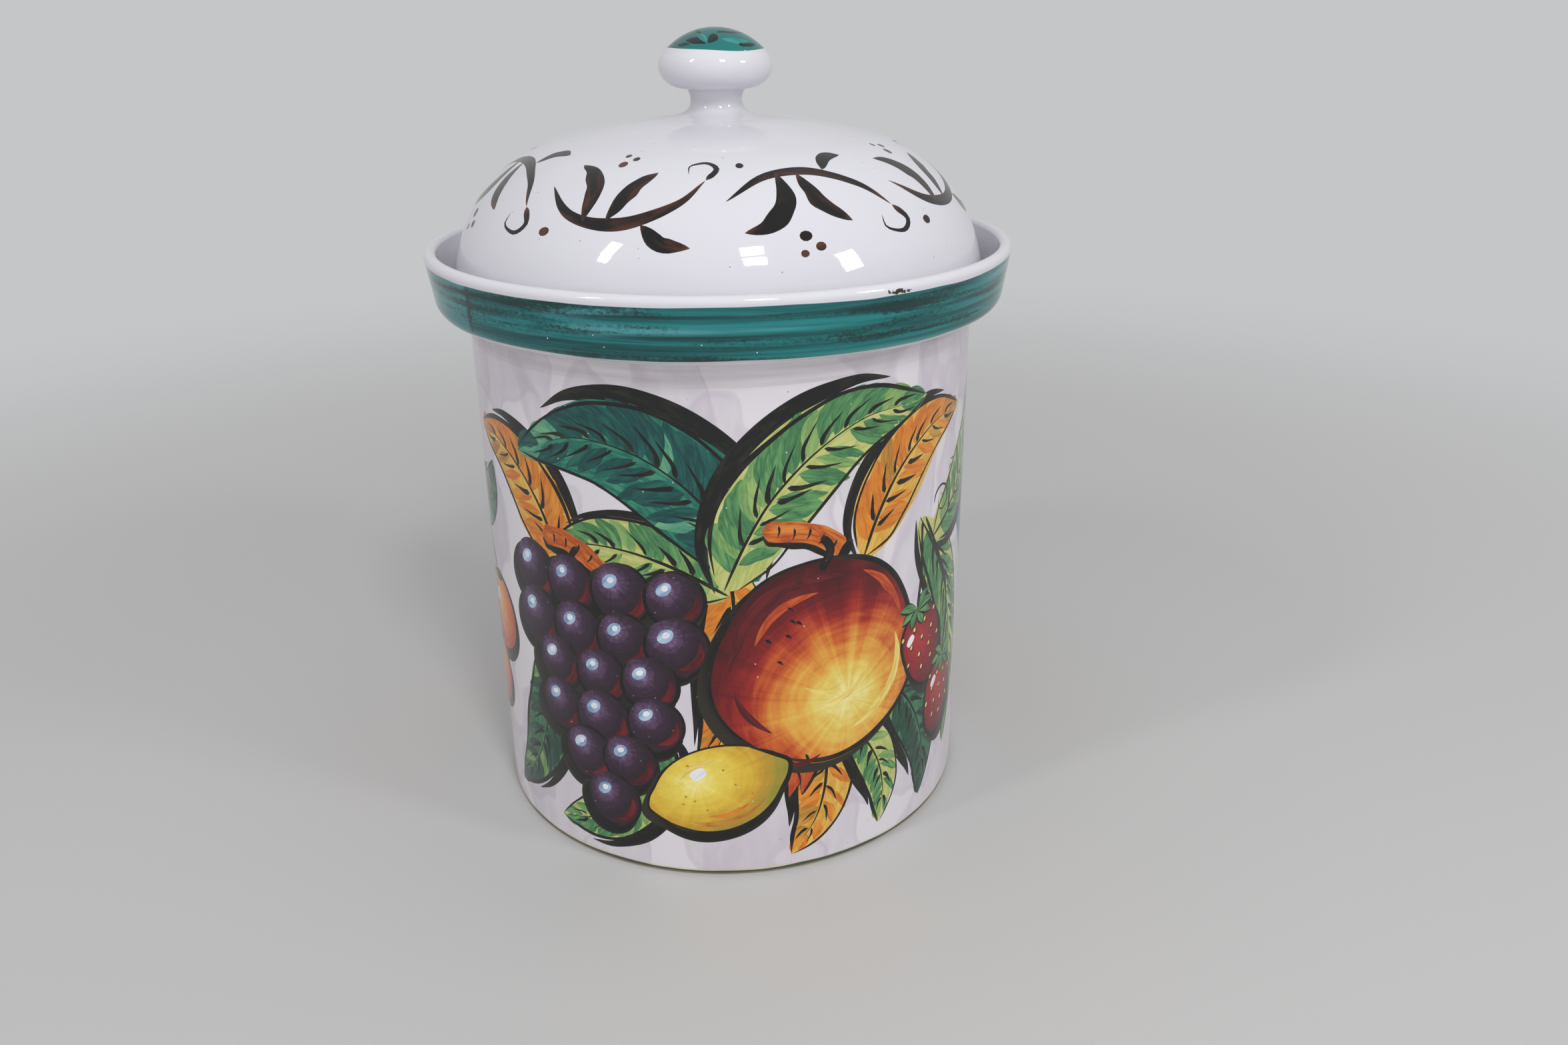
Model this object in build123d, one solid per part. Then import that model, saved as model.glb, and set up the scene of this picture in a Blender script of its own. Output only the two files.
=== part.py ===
from build123d import *
import math
import os

# A lidded crock for steeping fruit, with every piece turned about the Z axis.
# Lengths are in millimetres, and the crock stands on its foot ring at Z = 0.
# Each half-section is drawn with X as the radius and Y as the height.

QUARTER_TURN = 90.0

# Crock body
BODY_RADIUS = 100.0
BODY_HEIGHT = 209.0
BODY_WALL = 7.0
FLOOR_THICKNESS = 9.0
FLOOR_FILLET = 10.0
HEEL_ROUNDING = 2.0
FOOT_RING_WIDTH = 9.0
FOOT_RECESS_DEPTH = 2.0
FOOT_RECESS_ROUNDING = 1.2

# Gallery collar, which the lid sits down into
COLLAR_HEIGHT = 24.5
COLLAR_OVERHANG = 11.1
COLLAR_FLARE = 3.8
COLLAR_WALL = 4.9
COLLAR_HEEL_ROUNDING = 7.2
COLLAR_LIP_ROUNDING = 2.2
LEDGE_THICKNESS = 7.0
LEDGE_EDGE_ROUNDING = 2.0
GALLERY_FILLET = 2.0

# Lid
LID_SIDE_PLAY = 3.3
LID_RISE = 63.2
LID_WALL = 6.0
LID_FOOT_ROUNDING = 1.2
LID_SHOULDER_SHARE = 0.905  # shoulder radius, as a share of the lid's rise

# Knob
KNOB_SEAT_RADIUS = 17.0
KNOB_NECK_RADIUS = 9.9
KNOB_NECK_HEIGHT = 6.2
KNOB_CUFF_HEIGHT = 3.9
KNOB_CUFF_WIDTH = 2.3
KNOB_BELLY_HEIGHT = 8.1
KNOB_RADIUS = 21.7
KNOB_CROWN_RISE = 13.8
KNOB_SHOULDER_SHARE = 0.507  # shoulder radius, as a share of the crown's rise


def turned(outline):
    """Solid swept by a closed half-section round the Z axis."""
    return revolve(Plane.XZ * make_face(outline), Axis.Z)


class Dome:
    """Half-section of a crown arc that runs smoothly into a shoulder arc, upright where it ends."""

    def __init__(self, radius, base_height, rise, shoulder_share):
        self.base_height = base_height
        self.shoulder_radius = shoulder_share * rise
        self.shoulder_reach = radius - self.shoulder_radius
        self.crown_radius = (self.shoulder_reach**2 + rise**2 - self.shoulder_radius**2) / (
            2 * (rise - self.shoulder_radius)
        )
        self.crown_centre_height = base_height + rise - self.crown_radius
        self.turn = math.degrees(
            math.atan2(base_height - self.crown_centre_height, self.shoulder_reach)
        )

    def height_at(self, radius):
        """Height of the crown arc at a radius."""
        return self.crown_centre_height + math.sqrt(self.crown_radius**2 - radius**2)

    def arcs(self, inset, flat_radius):
        """Both arcs moved inwards by the inset, from the shoulder's foot to the radius where they stop."""
        crown_radius = self.crown_radius - inset
        stop_turn = math.degrees(math.acos(flat_radius / crown_radius))
        shoulder = CenterArc(
            (self.shoulder_reach, self.base_height), self.shoulder_radius - inset, 0, self.turn
        )
        crown = CenterArc(
            (0, self.crown_centre_height), crown_radius, self.turn, stop_turn - self.turn
        )
        return shoulder + crown


# Places that several pieces share
inner_radius = BODY_RADIUS - BODY_WALL
collar_foot_radius = BODY_RADIUS + COLLAR_OVERHANG
collar_brim_radius = collar_foot_radius + COLLAR_FLARE
collar_top = BODY_HEIGHT + COLLAR_HEIGHT
ledge_height = BODY_HEIGHT + LEDGE_THICKNESS
gallery_brim_radius = collar_brim_radius - COLLAR_WALL
gallery_foot_radius = (
    collar_foot_radius + COLLAR_FLARE * LEDGE_THICKNESS / COLLAR_HEIGHT - COLLAR_WALL
)
lid_radius = gallery_foot_radius - LID_SIDE_PLAY
lid_dome_shape = Dome(lid_radius, ledge_height, LID_RISE, LID_SHOULDER_SHARE)
knob_seat_height = lid_dome_shape.height_at(KNOB_SEAT_RADIUS)


def crock_body():
    """Straight-sided crock with a flat rim face, a filleted floor and a shallow recess underneath."""
    recess_radius = BODY_RADIUS - FOOT_RING_WIDTH
    corners = [
        (0, FOOT_RECESS_DEPTH),
        (recess_radius, FOOT_RECESS_DEPTH),
        (recess_radius, 0),
        (BODY_RADIUS, 0),
        (BODY_RADIUS, BODY_HEIGHT),
        (inner_radius, BODY_HEIGHT),
        (inner_radius, FLOOR_THICKNESS),
        (0, FLOOR_THICKNESS),
    ]
    roundings = [
        0,
        0,
        FOOT_RECESS_ROUNDING,
        HEEL_ROUNDING,
        0,
        0,
        FLOOR_FILLET,
        0,
    ]
    return turned(FilletPolyline(*corners, radius=roundings, close=True))


def gallery_collar():
    """Overhanging ring with a flared lip, and inside it the ledge that carries the lid."""
    corners = [
        (inner_radius, BODY_HEIGHT),
        (collar_foot_radius, BODY_HEIGHT),
        (collar_brim_radius, collar_top),
        (gallery_brim_radius, collar_top),
        (gallery_foot_radius, ledge_height),
        (inner_radius, ledge_height),
    ]
    roundings = [
        0,
        COLLAR_HEEL_ROUNDING,
        COLLAR_LIP_ROUNDING,
        COLLAR_LIP_ROUNDING,
        GALLERY_FILLET,
        LEDGE_EDGE_ROUNDING,
    ]
    return turned(FilletPolyline(*corners, radius=roundings, close=True))


def lid_dome():
    """Hollow domed lid of one wall thickness, with a flat seat for the knob on its crown."""
    hollow_top = lid_dome_shape.height_at(0) - LID_WALL
    outside = lid_dome_shape.arcs(0, KNOB_SEAT_RADIUS)
    inside = lid_dome_shape.arcs(LID_WALL, 0)
    foot = Line((lid_radius - LID_WALL, ledge_height), (lid_radius, ledge_height))
    seat = Line((KNOB_SEAT_RADIUS, knob_seat_height), (0, knob_seat_height))
    axis = Line((0, knob_seat_height), (0, hollow_top))
    lid = turned(outside + inside + foot + seat + axis)
    foot_edges = lid.edges().group_by(Axis.Z)[0]
    return fillet(foot_edges, LID_FOOT_ROUNDING)


def lid_knob():
    """Turned knob: a flared neck, a cuff under the belly, and a low domed cap."""
    cuff_height = knob_seat_height + KNOB_NECK_HEIGHT
    belly_foot = cuff_height + KNOB_CUFF_HEIGHT
    widest_height = belly_foot + KNOB_BELLY_HEIGHT
    cuff_radius = KNOB_NECK_RADIUS + KNOB_CUFF_WIDTH
    cap = Dome(KNOB_RADIUS, widest_height, KNOB_CROWN_RISE, KNOB_SHOULDER_SHARE)
    flare = EllipticalCenterArc(
        (KNOB_SEAT_RADIUS, cuff_height),
        KNOB_SEAT_RADIUS - KNOB_NECK_RADIUS,
        KNOB_NECK_HEIGHT,
        2 * QUARTER_TURN,
        arc_size=QUARTER_TURN,
    )
    cuff = EllipticalCenterArc(
        (cuff_radius, cuff_height),
        KNOB_CUFF_WIDTH,
        KNOB_CUFF_HEIGHT,
        QUARTER_TURN,
        arc_size=QUARTER_TURN,
    )
    belly = EllipticalCenterArc(
        (cuff_radius, widest_height),
        KNOB_RADIUS - cuff_radius,
        KNOB_BELLY_HEIGHT,
        3 * QUARTER_TURN,
        arc_size=QUARTER_TURN,
    )
    seat = Line((0, knob_seat_height), (KNOB_SEAT_RADIUS, knob_seat_height))
    axis = Line((0, cap.height_at(0)), (0, knob_seat_height))
    return turned(seat + flare + cuff + belly + cap.arcs(0, 0) + axis)


os.makedirs("parts", exist_ok=True)
for piece in (crock_body, gallery_collar, lid_dome, lid_knob):
    export_step(piece(), "parts/" + piece.__name__ + ".step")
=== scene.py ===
import math
from collections import namedtuple

import bpy
import numpy as np
from mathutils import Matrix, Vector
from mathutils.geometry import delaunay_2d_cdt


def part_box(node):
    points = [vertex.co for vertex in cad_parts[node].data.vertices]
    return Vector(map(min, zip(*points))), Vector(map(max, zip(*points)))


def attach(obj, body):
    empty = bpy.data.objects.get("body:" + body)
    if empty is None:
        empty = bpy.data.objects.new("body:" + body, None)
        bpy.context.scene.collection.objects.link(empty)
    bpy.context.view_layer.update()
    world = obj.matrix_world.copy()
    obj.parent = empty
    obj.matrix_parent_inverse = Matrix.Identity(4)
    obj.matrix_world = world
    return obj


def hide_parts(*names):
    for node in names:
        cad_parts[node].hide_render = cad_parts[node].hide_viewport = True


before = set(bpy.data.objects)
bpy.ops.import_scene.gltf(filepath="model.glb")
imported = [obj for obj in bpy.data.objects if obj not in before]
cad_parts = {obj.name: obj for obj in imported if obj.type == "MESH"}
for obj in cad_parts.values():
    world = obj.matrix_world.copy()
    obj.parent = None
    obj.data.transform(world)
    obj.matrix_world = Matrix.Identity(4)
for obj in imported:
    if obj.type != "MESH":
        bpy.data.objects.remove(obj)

# A painted and glazed fruit crock with a lift-off lid.
# Sections and drawings are measured in millimetres, and MM turns them into metres.
MM = 0.001
FULL_TURN = 2 * math.pi
QUARTER = math.pi / 2
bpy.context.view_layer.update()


def extent(node):
    """Lowest and highest corner of a CAD node, in millimetres."""
    low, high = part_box(node)
    return np.array(low) / MM, np.array(high) / MM


def added(name, data):
    """A new object of the scene."""
    item = bpy.data.objects.new(name, data)
    bpy.context.collection.objects.link(item)
    return item


# Sizes of the pieces: shared places come from the CAD parts
lid_low, lid_high = extent("lid_dome")
knob_low, knob_high = extent("lid_knob")
BODY_RADIUS, _, BODY_TOP = extent("crock_body")[1]
BODY_WALL = 7.0
FLOOR_TOP = 9.0
FLOOR_FILLET = 10.0
PAINTING_LOW = 4.0
PAINTING_TOP = BODY_TOP - 5.0
HEEL_ROUNDING = 2.0
FOOT_RING_WIDTH = 9.0
FOOT_RECESS = 2.0
RECESS_ROUNDING = 1.2
COLLAR_TOP = extent("gallery_collar")[1][2]
COLLAR_FOOT_RADIUS = BODY_RADIUS + 11.1
COLLAR_BRIM_RADIUS = COLLAR_FOOT_RADIUS + 3.8
COLLAR_WALL = 4.9
COLLAR_HEEL = 7.2
LIP_ROUNDING = 2.3
LEDGE_TOP = lid_low[2]
GALLERY_FOOT_RADIUS = 107.3
GALLERY_FILLET = 2.0
POOL_DROP = 1.7
POOL_WIDTH = 1.6
POOL_ROUNDING = 0.8
LID_RADIUS = lid_high[0]
LID_RISE = 63.2
LID_WALL = 6.0
LID_SHOULDER_SHARE = 0.905
LID_FOOT_ROUNDING = 1.2
KNOB_FEATHER_RADIUS = 22.0
KNOB_NECK_RADIUS = 9.9
KNOB_NECK_HEIGHT = 6.2
KNOB_CUFF_HEIGHT = 3.9
KNOB_CUFF_WIDTH = 2.3
KNOB_BELLY_HEIGHT = 8.1
KNOB_RADIUS = knob_high[0]
KNOB_CROWN_RISE = 13.8
KNOB_SHOULDER_SHARE = 0.507
KNOB_SEAT = knob_low[2]

# How finely surfaces are divided, and how near counts as the same place
TURN_STEPS = 192
TURNS = np.linspace(-math.pi, math.pi, TURN_STEPS + 1)
ARC_STEP = math.radians(7.5)
ARC_RUN = 3.5
LONGEST_RUN = 9.0
EDGE = 1e-4
SHEET_GRID = 4.5
CAP_GRID = 2.0
CAP_REACH = 22.0
OUTLINE_STEP = 1.5
LARGE_SHAPE = 9.0
CDT_GAP = 0.001
TOUCH = 0.001
WELD = 1e-8
NEARLY_NONE = 1e-9
MAP_MARGIN = 0.006
RIPPLE_MIDDLE = -1.04


# Sections

def unit(vector):
    return vector / np.linalg.norm(vector)


def arc_rows(centre, radii, start, stop):
    """Rows of a section along an elliptical arc: radius, height and the direction of travel."""
    sweep = abs(stop - start)
    steps = max(2, math.ceil(sweep / ARC_STEP), math.ceil(sweep * max(radii) / ARC_RUN))
    way = math.copysign(1, stop - start)
    rows = []
    for angle in np.linspace(start, stop, steps + 1):
        point = np.array(centre) + np.array(radii) * [math.cos(angle), math.sin(angle)]
        along = unit(way * np.array(radii) * [-math.sin(angle), math.cos(angle)])
        rows.append([*point, *along])
    return rows


def rounded(corners, roundings):
    """Rows along straight lines with rounded corners, from the first corner to the last."""
    corners = [np.array(corner, float) for corner in corners]
    rows = [[*corners[0], *unit(corners[1] - corners[0])]]
    for before, here, after, radius in zip(corners, corners[1:], corners[2:], roundings):
        came, goes = unit(here - before), unit(after - here)
        if radius == 0:
            rows += [[*here, *came], [*here, *goes]]
            continue
        side = np.sign(came[0] * goes[1] - came[1] * goes[0])
        turn = math.acos(np.clip(came @ goes, -1, 1))
        start = here - came * radius * math.tan(turn / 2)
        centre = start + side * radius * np.array([-came[1], came[0]])
        begin = math.atan2(start[1] - centre[1], start[0] - centre[0])
        rows += arc_rows(centre, (radius, radius), begin, begin + side * turn)
    return rows + [[*corners[-1], *unit(corners[-1] - corners[-2])]]


def bend_rows(start, start_way, stop, stop_way, pull):
    """Rows along a smooth bend that leaves and arrives in the given directions."""
    start, stop = np.array(start), np.array(stop)
    near = start + unit(np.array(start_way)) * pull[0]
    far = stop - unit(np.array(stop_way)) * pull[1]
    rows = []
    for t in np.linspace(0, 1, 15):
        s = 1 - t
        point = s**3 * start + 3 * s * s * t * near + 3 * s * t * t * far + t**3 * stop
        along = unit(s * s * (near - start) + 2 * s * t * (far - near) + t * t * (stop - far))
        rows.append([*point, *along])
    return rows


def refined(rows):
    """The same rows, with the long straight runs divided."""
    out = [rows[0]]
    for row in rows[1:]:
        here, there = np.array(out[-1]), np.array(row)
        parts = max(1, math.ceil(np.linalg.norm(there[:2] - here[:2]) / LONGEST_RUN))
        for k in range(1, parts + 1):
            out.append(list(here + (there - here) * k / parts))
    return np.array(out)


class Dome:
    """A crown arc that runs into a shoulder arc, as the solids have it."""

    def __init__(self, radius, base, rise, shoulder_share):
        self.base = base
        self.shoulder = shoulder_share * rise
        self.reach = radius - self.shoulder
        self.crown = (self.reach**2 + rise**2 - self.shoulder**2) / (2 * (rise - self.shoulder))
        self.centre = base + rise - self.crown
        self.turn = math.atan2(base - self.centre, self.reach)

    def height_at(self, radius):
        return self.centre + math.sqrt(self.crown**2 - radius**2)

    def rows(self, inset=0.0, start=0.0):
        """Rows from a turn on the shoulder up to the crown's middle."""
        shoulder, crown = self.shoulder - inset, self.crown - inset
        low = arc_rows((self.reach, self.base), (shoulder, shoulder), start, self.turn)
        return low + arc_rows((0, self.centre), (crown, crown), self.turn, QUARTER)[1:]


def reverse(rows):
    return [[radius, height, -out_r, -out_z] for radius, height, out_r, out_z in rows[::-1]]


# Surfaces turned from a section

def ripple(turn, height, seed):
    """Slow unevenness of a thrown wall, about its middle and always inwards: from 0 down to about -2."""
    draw = np.random.RandomState(seed)
    out = RIPPLE_MIDDLE
    for lobes in (2, 3, 5):
        phase, lean = draw.uniform(0, FULL_TURN), draw.uniform(-0.02, 0.02)
        out = out + np.sin(lobes * turn + phase + lean * height) / lobes
    return out


class Surface:
    """A turned surface, with a place for each pair of turn and distance along the section."""

    def __init__(self, rows, seed, depth):
        self.rows = refined(rows)
        runs = np.linalg.norm(np.diff(self.rows[:, :2], axis=0), axis=1)
        self.along = np.concatenate([[0], np.cumsum(runs)])
        self.seed, self.depth = seed, depth

    def far(self, test):
        """Distance along the section of the first row that passes the test."""
        return self.along[next(k for k, row in enumerate(self.rows) if test(row[0], row[1]))]

    def at(self, turn, along):
        """Points in metres, and outward normals. Turn 0 faces the viewer, and grows to the right."""
        spread = self.along + np.arange(len(self.along)) * NEARLY_NONE
        radius, height, out_r, out_z = (np.interp(along, spread, column) for column in self.rows.T)
        radius = radius * (1 + self.depth / BODY_RADIUS * ripple(turn, height, self.seed))
        across, back = np.sin(turn), -np.cos(turn)
        points = np.stack([radius * across, radius * back, height], -1) * MM
        normals = np.stack([out_z * across, out_z * back, -out_r], -1)
        return points, normals / np.linalg.norm(normals, axis=1)[:, None]


class Skin:
    """The faces of one closed piece. Each corner has a paint place and a tone, each face a finish."""

    def __init__(self, name, surface):
        self.name, self.surface = name, surface
        self.parts, self.finishes = [], []
        self.total = 0

    def finish(self, material):
        if material not in self.finishes:
            self.finishes.append(material)
        return self.finishes.index(material)

    def add(self, turn, along, inset, faces, paint, tone, slots):
        """Triangles, each a row of three point numbers; paint and tone have one entry for each corner."""
        spread, normals = np.stack([turn, along], -1), self.surface.at(turn, along + inset)[1]
        self.parts.append((spread, normals, faces + self.total, paint, tone, slots))
        self.total += len(turn)

    def turn(self, first, last, material):
        """Strips of faces between two distances along the section, each with normals from its own side."""
        inner = [v for v in self.surface.along if first + WELD < v < last - WELD]
        stops = np.array([first] + inner + [last])
        stops = stops[np.concatenate([[True], np.diff(stops) > WELD])]
        strips, wide = len(stops) - 1, len(TURNS)
        u, v = np.meshgrid(TURNS, np.repeat(stops, 2)[1:-1])
        inset = np.repeat(np.tile([EDGE, -EDGE], strips), wide)
        a = (np.arange(strips)[:, None] * 2 * wide + np.arange(wide - 1)[None]).ravel()
        b = a + wide
        faces = np.vstack([np.stack([a, a + 1, b + 1], -1), np.stack([a, b + 1, b], -1)])
        flat = np.stack([u.ravel() * BODY_RADIUS, v.ravel(), np.zeros(u.size)], -1)
        corners = faces.ravel()
        slots = np.full(len(faces), self.finish(material))
        self.add(u.ravel(), v.ravel(), inset, faces, flat[corners], np.zeros(len(corners)), slots)

    def build(self, body, node, unfold=None):
        """Makes the mesh, welded shut, and sets it on its body in place of its CAD node."""
        spread, normals, faces, paint, tone, slots = (np.concatenate(part) for part in zip(*self.parts))
        points = self.surface.at(*spread.T)[0]
        keys = np.round(points / WELD).astype(np.int64)
        _, first, group = np.unique(keys, axis=0, return_index=True, return_inverse=True)
        welded = group.ravel()[faces]
        a, b, c = welded.T
        whole = (a != b) & (b != c) & (c != a)
        faces, corners = faces[whole], np.repeat(whole, 3)
        mesh = bpy.data.meshes.new(self.name)
        mesh.from_pydata(points[first].tolist(), [], welded[whole].tolist())
        mesh.polygons.foreach_set("material_index", slots[whole].astype(np.int32))
        mesh.polygons.foreach_set("use_smooth", np.ones(len(faces), bool))
        for name, kind, key, values in (
                ("paint", "FLOAT_VECTOR", "vector", paint), ("tone", "FLOAT", "value", tone)):
            data = mesh.attributes.new(name, kind, "CORNER").data
            data.foreach_set(key, values[corners].astype(np.float32).ravel())
        if unfold:
            layer = mesh.uv_layers.new(name="OFBake")
            layer.data.foreach_set("uv", unfold(spread[faces]).astype(np.float32).ravel())
        for material in self.finishes:
            mesh.materials.append(material)
        mesh.update()
        mesh.normals_split_custom_set(normals[faces.ravel()].tolist())
        piece = added(self.name, mesh)
        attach(piece, body)
        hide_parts(node)


# Flat drawings that are laid on a surface

def spaced(points, step):
    """Points about one step apart along a path."""
    runs = np.linalg.norm(np.diff(points, axis=0), axis=1)
    far = np.concatenate([[0], np.cumsum(runs)])
    stops = np.linspace(0, far[-1], max(4, math.ceil(far[-1] / step) + 1))
    return np.stack([np.interp(stops, far, column) for column in points.T], -1)


def curve(points):
    """A smooth path through the points, evenly spaced."""
    points = np.asarray(points, float)
    ends = np.vstack([2 * points[0] - points[1], points, 2 * points[-1] - points[-2]])
    t = np.linspace(0, 1, 13)[:-1, None]
    parts = []
    for a, b, c, d in zip(ends, ends[1:], ends[2:], ends[3:]):
        square, cube = a - 2.5 * b + 2 * c - 0.5 * d, 1.5 * (b - c) + 0.5 * (d - a)
        parts.append(b + (c - a) / 2 * t + square * t**2 + cube * t**3)
    return spaced(np.vstack(parts + [points[-1:]]), OUTLINE_STEP)


def heading(way):
    return np.array([math.cos(way), math.sin(way)])


def circle(angles):
    return np.stack([np.cos(angles), np.sin(angles)], -1)


def spin(tilt):
    """A matrix that turns the rows of points on its left."""
    return np.array([heading(tilt), [-math.sin(tilt), math.cos(tilt)]])


def sideways(path):
    """Unit vectors to the left of a path."""
    along = np.gradient(path, axis=0)
    along /= np.linalg.norm(along, axis=1)[:, None] + 1e-12
    return np.stack([-along[:, 1], along[:, 0]], -1)


def wander(draw, count, waves):
    """A smooth random run of values, about -1 to 1."""
    knots = draw.uniform(-1, 1, waves + 2)
    t = np.linspace(0, waves, count)
    low = np.floor(t).astype(int)
    share = (t - low) ** 2 * (3 - 2 * (t - low))
    return knots[low] * (1 - share) + knots[low + 1] * share


# Widths of a stroke along its way, as shares
def leaf_width(t):
    return 1.84 * t**0.62 * (1 - t) ** 0.9


def swelling(t):
    return np.clip(np.sin(math.pi * t), 0, 1) ** 0.75


def blunt(t):
    return np.clip(np.sin(math.pi * t) * 4, 0, 1) ** 0.5


def comma(t):
    return np.clip(t * 9, 0, 1) ** 0.5 * (1 - t) ** 0.75


def line(t):
    return np.clip(np.sin(math.pi * t) * 3, 0, 1) ** 0.6


# One painted shape: its outline, its paint, and the coordinates that its paint follows
Shape = namedtuple("Shape", "outline paint locate")


def covers(outline, points):
    """Which points lie inside the outline."""
    turns = np.zeros(len(points), int)
    x, y = points.T
    for (x1, y1), (x2, y2) in zip(outline, np.roll(outline, -1, axis=0)):
        left = (x2 - x1) * (y - y1) - (x - x1) * (y2 - y1)
        turns += (y1 <= y) & (y < y2) & (left > 0)
        turns -= (y2 <= y) & (y < y1) & (left < 0)
    return turns != 0


def brush(path, width, paint, draw, profile, rough, lean=0.0):
    """A brush stroke along a path. Lean moves its width to the left, and rough makes its edges uneven."""
    t = np.linspace(0, 1, len(path))
    half = width / 2 * profile(t)
    side = sideways(path)
    left = half * (1 + lean) * (1 + rough * wander(draw, len(t), 6))
    right = half * (1 - lean) * (1 + rough * wander(draw, len(t), 6))
    outline = np.vstack([path + side * left[:, None], (path - side * right[:, None])[-2:0:-1]])
    seed = draw.uniform(0, 90)
    steps = np.diff(path, axis=0)
    lengths = np.linalg.norm(steps, axis=1) + NEARLY_NONE
    far = np.concatenate([[0], np.cumsum(lengths)])

    def locate(points):
        """Distance along the stroke and to its left in millimetres, and the share of its length."""
        apart = points[:, None] - path[None, :-1]
        share = np.clip((apart * steps).sum(2) / lengths**2, 0, 1)
        gap = apart - share[..., None] * steps
        near = np.argmin((gap**2).sum(2), axis=1)
        rows = np.arange(len(points))
        gap, run = gap[rows, near], steps[near] / lengths[near, None]
        across = run[:, 0] * gap[:, 1] - run[:, 1] * gap[:, 0]
        along = far[near] + share[rows, near] * lengths[near]
        return np.stack([along, across, np.full(len(points), seed)], -1), along / far[-1]

    return Shape(outline, paint, locate)


def oval(angle):
    return np.ones(len(angle))


def squared(angle):
    return 1 / np.maximum(np.abs(np.cos(angle)), np.abs(np.sin(angle))) ** 0.8


def blob(centre, radii, paint, draw, tilt, form, rough):
    """A closed shape about a centre. Form gives its radius share for each angle."""
    size = np.array(radii, float)
    count = max(10, math.ceil(FULL_TURN * size.mean() / OUTLINE_STEP))
    angle = np.linspace(0, FULL_TURN, count, endpoint=False)
    share = form(angle) * (1 + rough * wander(draw, count, 7) * np.sin(angle / 2))
    flat = circle(angle) * size * share[:, None]
    turn = spin(tilt)
    seed = draw.uniform(0, 90)

    def locate(points):
        """Place in the shape's own frame, 1 at its rim, and the share of the way to the rim."""
        local = (points - centre) @ turn.T / size
        return np.hstack([local, np.full((len(points), 1), seed)]), np.linalg.norm(local, axis=1)

    return Shape(flat @ turn + centre, paint, locate)


def wrapped(shapes, radius):
    """The shapes of a belt, with those that cross its ends laid again at the other end."""
    span = FULL_TURN * radius
    laid = []
    for shape in shapes:
        laid.append(shape)
        for shift in (-span, span):
            outline = shape.outline + [shift, 0]
            if outline[:, 0].max() > -span / 2 and outline[:, 0].min() < span / 2:
                laid.append(Shape(outline, shape.paint, lambda at, s=shape, d=shift: s.locate(at - [d, 0])))
    return laid


class Sheet:
    """A flat drawing. Later shapes cover earlier ones, and what they leave free is the ground."""

    def __init__(self, border, shapes, step=SHEET_GRID):
        self.border, self.shapes, self.step = border, shapes, step

    def grid(self):
        """Evenly spread points inside the border."""
        low, high = self.border.min(axis=0), self.border.max(axis=0)
        columns = np.arange(low[0] + self.step / 2, high[0], self.step)
        rows = np.arange(low[1] + self.step / 2, high[1], self.step * 0.866)
        x, y = np.meshgrid(columns, rows)
        x[1::2] += self.step / 2
        points = np.stack([x.ravel(), y.ravel()], -1)
        middle = (low + high) / 2
        return points[covers(middle + (self.border - middle) * (1 - 3 / (high - low)), points)]

    def cuts(self):
        """Points and edges of all outlines, without those that a later large shape hides."""
        rings = [self.border] + [shape.outline for shape in self.shapes]
        points = np.vstack(rings)
        starts = np.cumsum([0] + [len(ring) for ring in rings])
        cover = np.full(len(points), -1)
        for number, ring in enumerate(rings[1:], 1):
            low, high = ring.min(axis=0), ring.max(axis=0)
            if min(high - low) > LARGE_SHAPE:
                x, y = points[:starts[number]].T
                near = np.flatnonzero((x > low[0]) & (x < high[0]) & (y > low[1]) & (y < high[1]))
                near = near[near >= len(self.border)]
                cover[near[covers(ring, points[near])]] = number
        ids = [np.arange(start, stop) for start, stop in zip(starts, starts[1:])]
        edges = np.vstack([np.stack([ring, np.roll(ring, -1)], -1) for ring in ids])
        first, second = cover[edges].T
        used, edges = np.unique(edges[(first != second) | (first < 0)], return_inverse=True)
        return points[used], edges.reshape(-1, 2)

    def lay(self, skin, place, ground):
        """Divides the sheet along every outline and adds it to a skin."""
        points, edges = self.cuts()
        points = [Vector(point) for point in np.vstack([points, self.grid()]).tolist()]
        flat, _, faces, origins, _, _ = delaunay_2d_cdt(points, edges.tolist(), [], 0, CDT_GAP, True)
        flat, faces = np.array([tuple(point) for point in flat]), np.array(faces)
        for end in (self.border[:, 0].min(), self.border[:, 0].max()):
            seam = np.abs(flat[:, 0] - end) < TOUCH
            flat[seam, 0] = end
            flat[seam, 1] = np.round(flat[seam, 1], 3)
        for index, ids in enumerate(origins):
            if ids and min(ids) < len(self.border):
                flat[index] = self.border[min(ids)]
        faces = faces[covers(self.border, flat[faces].mean(axis=1))]
        middle = flat[faces].mean(axis=1)
        owner = np.full(len(faces), -1)
        order = np.argsort(middle[:, 0])
        for number in range(len(self.shapes) - 1, -1, -1):
            outline = self.shapes[number].outline
            low, high = outline.min(axis=0), outline.max(axis=0)
            first, last = np.searchsorted(middle[order, 0], (low[0], high[0]))
            near = order[first:last]
            near = near[(owner[near] < 0) & (middle[near, 1] > low[1]) & (middle[near, 1] < high[1])]
            owner[near[covers(outline, middle[near])]] = number
        paint = np.hstack([flat[faces.ravel()], np.zeros((faces.size, 1))])
        tone = np.zeros(faces.size)
        slots = np.full(len(faces), skin.finish(ground))
        for number in np.unique(owner[owner >= 0]):
            shape = self.shapes[number]
            mine = np.flatnonzero(owner == number)
            slots[mine] = skin.finish(shape.paint)
            corners = (mine[:, None] * 3 + np.arange(3)).ravel()
            paint[corners], tone[corners] = shape.locate(flat[faces.ravel()[corners]])
        skin.add(*place(*flat.T), 0.0, faces, paint, tone, slots)


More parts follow.
